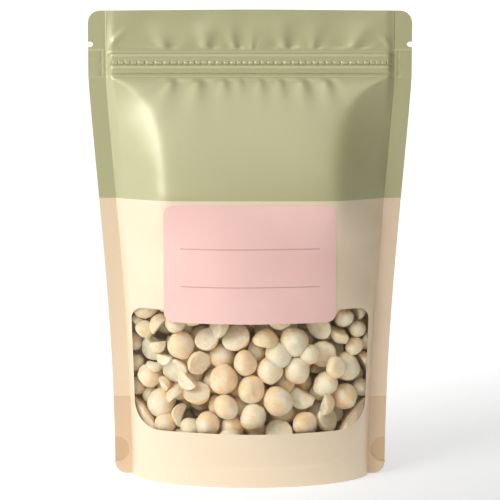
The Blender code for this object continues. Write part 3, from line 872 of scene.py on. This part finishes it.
def pile_kernel(bm, centre, radius, chance, layers):
    """Adds one whole, halved or broken kernel to the pile."""
    seed = int(chance.integers(1 << 30))
    made = bmesh.new()
    seen = centre[1] < 2 * MM and centre[2] < WINDOW_HIGH + 8 * MM
    bmesh.ops.create_icosphere(made, subdivisions=3 if seen else 2, radius=1)
    oval = Vector(chance.uniform(0.88, 1.0, 3))
    for vertex in made.verts:
        tip = 0.07 * max(0.0, vertex.co.z) ** 5
        vertex.co = vertex.co * (0.97 + tip) * oval
    kind = chance.choice(list(KIND_SHARES), p=list(KIND_SHARES.values()))
    planes = CUTS[str(kind)]
    for point, normal in planes:
        cut_off(made, point, normal)
    turn = Vector(chance.normal(size=3)).normalized().to_track_quat("Z", "Y").to_matrix()
    turn = turn @ Matrix.Rotation(chance.uniform(0, 2 * math.pi), 3, "Z")
    shade = chance.uniform(0, 1)
    made.normal_update()
    points = np.array([vertex.co for vertex in made.verts]) * radius
    uneven = 0.28 * noise_field(points, 9 * MM, seed) + 0.07 * noise_field(points, 3 * MM, seed)
    start = len(bm.verts)
    for vertex, extra in zip(made.verts, uneven):
        flat = any(abs((vertex.co - point).dot(normal)) < 0.01 for point, normal in planes)
        local = vertex.co * radius + (Vector() if flat else vertex.normal * extra * MM)
        added = bm.verts.new(turn @ local + Vector(centre))
        added[layers["cut"]] = 1.0 if flat else 0.0
        added[layers["tone"]] = shade
    bm.verts.ensure_lookup_table()
    for face in made.faces:
        copied = bm.faces.new([bm.verts[start + vertex.index] for vertex in face.verts])
        copied.smooth = True
    made.free()


def build_pile(materials):
    """The kernels behind and above those at the window, as one piece."""
    centres, radii = settle_pile()
    chance = np.random.default_rng(KINDS_SEED)
    bm = bmesh.new()
    layers = {name: bm.verts.layers.float.new(name) for name in ("cut", "tone")}
    for centre, radius in zip(centres, radii):
        pile_kernel(bm, centre, radius, chance, layers)
    mesh = bpy.data.meshes.new("kernel_pile")
    bm.to_mesh(mesh)
    bm.free()
    move_vertices(mesh, keep_inside(vertex_values(mesh, "co")))
    mesh.set_sharp_from_angle(angle=math.radians(PILE_SHARP_ANGLE))
    pile = bpy.data.objects.new("kernel_pile", mesh)
    bpy.context.scene.collection.objects.link(pile)
    mesh.materials.append(materials["kernel"])
    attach(pile, "root")
    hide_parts("kernel_filling")


# ---------------------------------------------------------------- materials


def linear(red, green, blue):
    """An 8-bit screen colour as the linear colour that shaders take."""
    channels = (c / 255 for c in (red, green, blue))
    return tuple(c / 12.92 if c <= 0.04045 else ((c + 0.055) / 1.055) ** 2.4 for c in channels) + (1.0,)


class Nodes:
    """A material's node tree, with short calls for what is used often."""

    def __init__(self, name, roughness, specular=0.5):
        self.material = bpy.data.materials.new(name)
        self.material.use_nodes = True
        self.tree = self.material.node_tree
        self.shader = self.tree.nodes["Principled BSDF"]
        self.shader.inputs["Roughness"].default_value = roughness
        self.shader.inputs["Specular IOR Level"].default_value = specular
        self.place = self.add("ShaderNodeTexCoord").outputs["Object"]

    def add(self, kind, inputs=(), **settings):
        node = self.tree.nodes.new(kind)
        for key, value in settings.items():
            setattr(node, key, value)
        for key, value in dict(inputs).items():
            self.feed(node.inputs[key], value)
        return node

    def feed(self, socket, value):
        if isinstance(value, bpy.types.NodeSocket):
            self.tree.links.new(value, socket)
        else:
            socket.default_value = value

    def math(self, operation, a, b=0.0):
        return self.add("ShaderNodeMath", {0: a, 1: b}, operation=operation).outputs[0]

    def noise(self, scale, detail=3.0):
        made = self.add("ShaderNodeTexNoise", {"Vector": self.place, "Scale": scale, "Detail": detail})
        return made.outputs["Fac"]

    def mix(self, share, a, b):
        made = self.add("ShaderNodeMix", data_type="RGBA")
        self.feed(made.inputs[0], share)
        self.feed(made.inputs[6], a)
        self.feed(made.inputs[7], b)
        return made.outputs[2]

    def span(self, value, low, high, to_low=0.0, to_high=1.0):
        made = self.add(
            "ShaderNodeMapRange",
            {"Value": value, "From Min": low, "From Max": high, "To Min": to_low, "To Max": to_high},
        )
        return made.outputs[0]

    def attribute(self, name):
        return self.add("ShaderNodeAttribute", attribute_name=name).outputs["Fac"]

    def bump(self, height, strength, distance):
        values = {"Height": height, "Strength": strength, "Distance": distance}
        self.feed(self.shader.inputs["Normal"], self.add("ShaderNodeBump", values).outputs[0])

    def paint(self, colour):
        self.feed(self.shader.inputs["Base Color"], colour)

    def set(self, values):
        for key, value in values.items():
            self.shader.inputs[key].default_value = value


SAGE = linear(185, 182, 134)
CREAM = linear(244, 222, 190)
FILM_PATCHES = linear(196, 180, 140)
SEALED_SAGE = linear(184, 181, 134)
SEALED_CREAM = linear(238, 212, 178)
GUSSET_SEEN_THROUGH = linear(222, 190, 152)
PUNCHED = linear(208, 172, 129)
GUSSET_COLOURS = (linear(248, 228, 196), linear(240, 214, 178))
FILM_GRAIN = 1400.0

PAPER_COLOURS = (linear(246, 205, 196), linear(243, 197, 187))
PAPER_FIBRES = linear(222, 165, 150)
RULE_INK = linear(200, 158, 145)

SKIN_COLOURS = (linear(255, 217, 169), linear(255, 234, 199))  # the darkest and the palest kernel
SKIN_RUBBED = linear(255, 243, 220)
SKIN_PATCHES = linear(250, 196, 134)
SKIN_FLECKS = linear(255, 248, 230)
FLESH_COLOURS = (linear(255, 243, 222), linear(252, 221, 180))

ZIP_COLOURS = (linear(226, 226, 214), linear(214, 214, 200))


def film_material():
    """Satin printed laminate: sage above, cream below, tan where the gusset shows through the seals."""
    nodes = Nodes("satin_film", 0.4)
    nodes.set({"Metallic": 0.2, "Coat Weight": 1.0, "Coat IOR": 1.65, "Coat Roughness": 0.3})
    split = nodes.add("ShaderNodeSeparateXYZ", {"Vector": nodes.place})
    x = nodes.math("ABSOLUTE", split.outputs["X"])
    z = split.outputs["Z"]
    above = nodes.math("GREATER_THAN", z, COLOUR_CHANGE)
    colour = nodes.mix(above, CREAM, SAGE)
    patchy = nodes.span(nodes.noise(18.0), 0.35, 0.65, 0.0, 0.06)
    colour = nodes.mix(patchy, colour, FILM_PATCHES)
    seal = nodes.attribute("seal")
    sealed = nodes.mix(above, SEALED_CREAM, SEALED_SAGE)
    colour = nodes.mix(nodes.math("MULTIPLY", seal, 0.9), colour, sealed)
    folded = nodes.math("MULTIPLY", seal, nodes.math("LESS_THAN", z, GUSSET_FOLD))
    colour = nodes.mix(folded, colour, GUSSET_SEEN_THROUGH)
    from_punch_x = nodes.math("SUBTRACT", x, float(half_width(PUNCH_HEIGHT)) - PUNCH_FROM_EDGE)
    from_punch_z = nodes.math("SUBTRACT", z, PUNCH_HEIGHT)
    squares = [nodes.math("POWER", value, 2.0) for value in (from_punch_x, from_punch_z)]
    punched = nodes.math("LESS_THAN", nodes.math("ADD", *squares), PUNCH_RADIUS**2)
    nodes.paint(nodes.mix(nodes.math("MULTIPLY", folded, punched), colour, PUNCHED))
    nodes.bump(nodes.noise(FILM_GRAIN, 2.0), 0.12, 0.1 * MM)
    return nodes.material


def gusset_material():
    """The cream film again, plain."""
    nodes = Nodes("gusset_film", 0.42)
    nodes.set({"Metallic": 0.15})
    patchy = nodes.span(nodes.noise(25.0), 0.35, 0.65)
    nodes.paint(nodes.mix(patchy, *GUSSET_COLOURS))
    nodes.bump(nodes.noise(FILM_GRAIN, 2.0), 0.12, 0.1 * MM)
    return nodes.material


def clear_material():
    """Clear glossy film that hardly tints what lies behind it; its faint warm-brown veil is painted shade
    for the gaps between the kernels.
    """
    nodes = Nodes("clear_film", 0.12)
    # The warm brown base colour is painted shade: at this alpha it lays a faint brown veil that stands in
    # for the reddish-brown shade between the kernels.
    nodes.set({"Base Color": (0.35, 0.28, 0.2, 1), "Alpha": 0.035})
    nodes.bump(nodes.noise(60.0, 2.0), 0.2, 0.3 * MM)
    return nodes.material


def label_material():
    """Matt pale pink paper with two thin printed rules."""
    nodes = Nodes("label_paper", 0.5)
    split = nodes.add("ShaderNodeSeparateXYZ", {"Vector": nodes.place})
    x = nodes.math("ABSOLUTE", split.outputs["X"])
    patchy = nodes.span(nodes.noise(30.0), 0.3, 0.7)
    colour = nodes.mix(patchy, *PAPER_COLOURS)
    fibre = nodes.span(nodes.noise(900.0, 4.0), 0.3, 0.7, 0.0, 0.06)
    colour = nodes.mix(fibre, colour, PAPER_FIBRES)
    on_rule = 0.0
    for height in RULE_HEIGHTS:
        off = nodes.math("ABSOLUTE", nodes.math("SUBTRACT", split.outputs["Z"], height))
        on_rule = nodes.math("ADD", nodes.math("LESS_THAN", off, RULE_HALF_WIDTH), on_rule)
    on_rule = nodes.math("MULTIPLY", on_rule, nodes.math("LESS_THAN", x, RULE_HALF_LENGTH))
    nodes.paint(nodes.mix(on_rule, colour, RULE_INK))
    nodes.bump(nodes.noise(1800.0, 4.0), 0.15, 0.05 * MM)
    return nodes.material


def kernel_material():
    """Waxy cream nut flesh: the skin has tan patches and pale rubs, and the cut faces are paler."""
    nodes = Nodes("nut_flesh", 0.42, 0.4)
    tone = nodes.attribute("tone")
    cut = nodes.attribute("cut")
    skin = nodes.mix(tone, *SKIN_COLOURS)
    rubbed = nodes.span(nodes.noise(110.0, 4.0), 0.44, 0.62, 0.0, 0.75)
    skin = nodes.mix(rubbed, skin, SKIN_RUBBED)
    patches = nodes.span(nodes.noise(190.0, 3.0), 0.5, 0.75, 0.0, 0.55)
    skin = nodes.mix(patches, skin, SKIN_PATCHES)
    flecks = nodes.span(nodes.noise(900.0, 3.0), 0.52, 0.7, 0.0, 0.5)
    skin = nodes.mix(flecks, skin, SKIN_FLECKS)
    grain = nodes.span(nodes.noise(420.0, 5.0), 0.35, 0.7)
    flesh = nodes.mix(grain, *FLESH_COLOURS)
    nodes.paint(nodes.mix(cut, skin, flesh))
    nodes.set({
        "Subsurface Weight": 0.6,
        "Subsurface Radius": (1.0, 0.5, 0.25),
        "Subsurface Scale": 5 * MM,
    })
    coarse = nodes.math("MULTIPLY", nodes.noise(130.0, 2.0), 1.5)
    nodes.bump(nodes.math("ADD", nodes.noise(500.0, 4.0), coarse), 0.35, 0.3 * MM)
    return nodes.material


def zip_material():
    nodes = Nodes("zip_plastic", 0.32)
    patchy = nodes.span(nodes.noise(300.0), 0.3, 0.7)
    nodes.paint(nodes.mix(patchy, *ZIP_COLOURS))
    return nodes.material


def stage_material():
    """Pale studio paper, lit through from below behind the object and to its left."""
    nodes = Nodes("studio_floor", 0.8, 0.1)
    nodes.set({"Base Color": (0.58, 0.58, 0.58, 1), "Emission Color": (1, 1, 1, 1)})
    split = nodes.add("ShaderNodeSeparateXYZ", {"Vector": nodes.place})
    side = nodes.math("SUBTRACT", split.outputs["Y"], split.outputs["X"])
    nodes.feed(nodes.shader.inputs["Emission Strength"], nodes.span(side, -0.7, 0.25, 0.0, 0.8))
    return nodes.material


# ---------------------------------------------------------------- stage, light and camera


FLOOR_RADIUS = 2.5
WALL_RADIUS = 0.6
DIMMEST, BRIGHTEST = 0.01, 0.42

# Each light: its name, where it hangs, where it points, its width and height, and its power in watts.
LIGHTS = (
    ("key", (-1.8, -1.5, 1.3), (0, 0, 0.12), 1.5, 1.5, 35),
    ("top", (-0.4, -1.4, 1.3), (0, 0, 0.15), 2.0, 1.5, 9),
)


def build_stage():
    """A round pale floor that curves up into a low wall."""
    profile = [(FLOOR_RADIUS * i / 6, 0.0) for i in range(7)]
    for angle in np.radians(np.arange(9, 91, 9)):
        profile.append((FLOOR_RADIUS + WALL_RADIUS * math.sin(angle), WALL_RADIUS * (1 - math.cos(angle))))
    around = 96
    points = []
    for radius, height in profile[1:]:
        for i in range(around):
            angle = 2 * math.pi * i / around
            points.append((radius * math.cos(angle), radius * math.sin(angle), height))
    faces = []
    for ring in range(len(profile) - 2):
        for i in range(around):
            a, b = ring * around + i, ring * around + (i + 1) % around
            faces.append((b, a, a + around, b + around))
    faces.append(tuple(range(around)))
    floor = add_mesh("studio_floor", points, faces, stage_material())


def add_area_light(name, place, aim, width, height, power):
    data = bpy.data.lights.new(name, "AREA")
    data.shape = "RECTANGLE"
    data.size, data.size_y = width, height
    data.energy = power
    light = bpy.data.objects.new(name, data)
    bpy.context.scene.collection.objects.link(light)
    light.location = place
    light.rotation_euler = (Vector(aim) - Vector(place)).to_track_quat("-Z", "Y").to_euler()


def build_world():
    """A studio that is bright at the upper left and dim at the lower right."""
    world = bpy.data.worlds.new("studio")
    bpy.context.scene.world = world
    world.use_nodes = True
    tree = world.node_tree
    background = tree.nodes["Background"]
    where = tree.nodes.new("ShaderNodeTexCoord")
    split = tree.nodes.new("ShaderNodeSeparateXYZ")
    lean = tree.nodes.new("ShaderNodeMath")
    lean.operation = "SUBTRACT"
    span = tree.nodes.new("ShaderNodeMapRange")
    tree.links.new(where.outputs["Generated"], split.inputs[0])
    tree.links.new(split.outputs["Z"], lean.inputs[0])
    tree.links.new(split.outputs["X"], lean.inputs[1])
    tree.links.new(lean.outputs[0], span.inputs["Value"])
    reach = {"From Min": -0.8, "From Max": 1.3, "To Min": DIMMEST, "To Max": BRIGHTEST}
    for key, value in reach.items():
        span.inputs[key].default_value = value
    tree.links.new(span.outputs[0], background.inputs["Strength"])
    background.inputs["Color"].default_value = (1, 1, 1, 1)


CAMERA_DISTANCE = 0.80
CAMERA_HEIGHT = 0.2052
CAMERA_PITCH = math.radians(6.5)
CAMERA_LENS = 115.7


def build_camera():
    data = bpy.data.cameras.new("camera")
    data.sensor_width = 36
    data.lens = CAMERA_LENS
    data.clip_start, data.clip_end = 0.05, 20
    camera = bpy.data.objects.new("camera", data)
    bpy.context.scene.collection.objects.link(camera)
    camera.location = (0, -CAMERA_DISTANCE, CAMERA_HEIGHT)
    camera.rotation_euler = (math.pi / 2 - CAMERA_PITCH, 0, 0)
    bpy.context.scene.camera = camera


def main():
    materials = {
        "film": film_material(),
        "gusset": gusset_material(),
        "clear": clear_material(),
        "label": label_material(),
        "kernel": kernel_material(),
        "zip": zip_material(),
    }
    build_films(materials)
    build_window(materials)
    build_label(materials)
    build_window_kernels(materials)
    build_pile(materials)
    kept_solids = {"bottom_gusset": "gusset", "zip_groove_strip": "zip", "zip_rib_strip": "zip"}
    for node, slot in kept_solids.items():
        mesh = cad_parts[node].data
        mesh.materials.clear()
        mesh.materials.append(materials[slot])
    build_stage()
    build_world()
    for light in LIGHTS:
        add_area_light(*light)
    bpy.context.scene.view_settings.view_transform = "Standard"
    build_camera()


main()
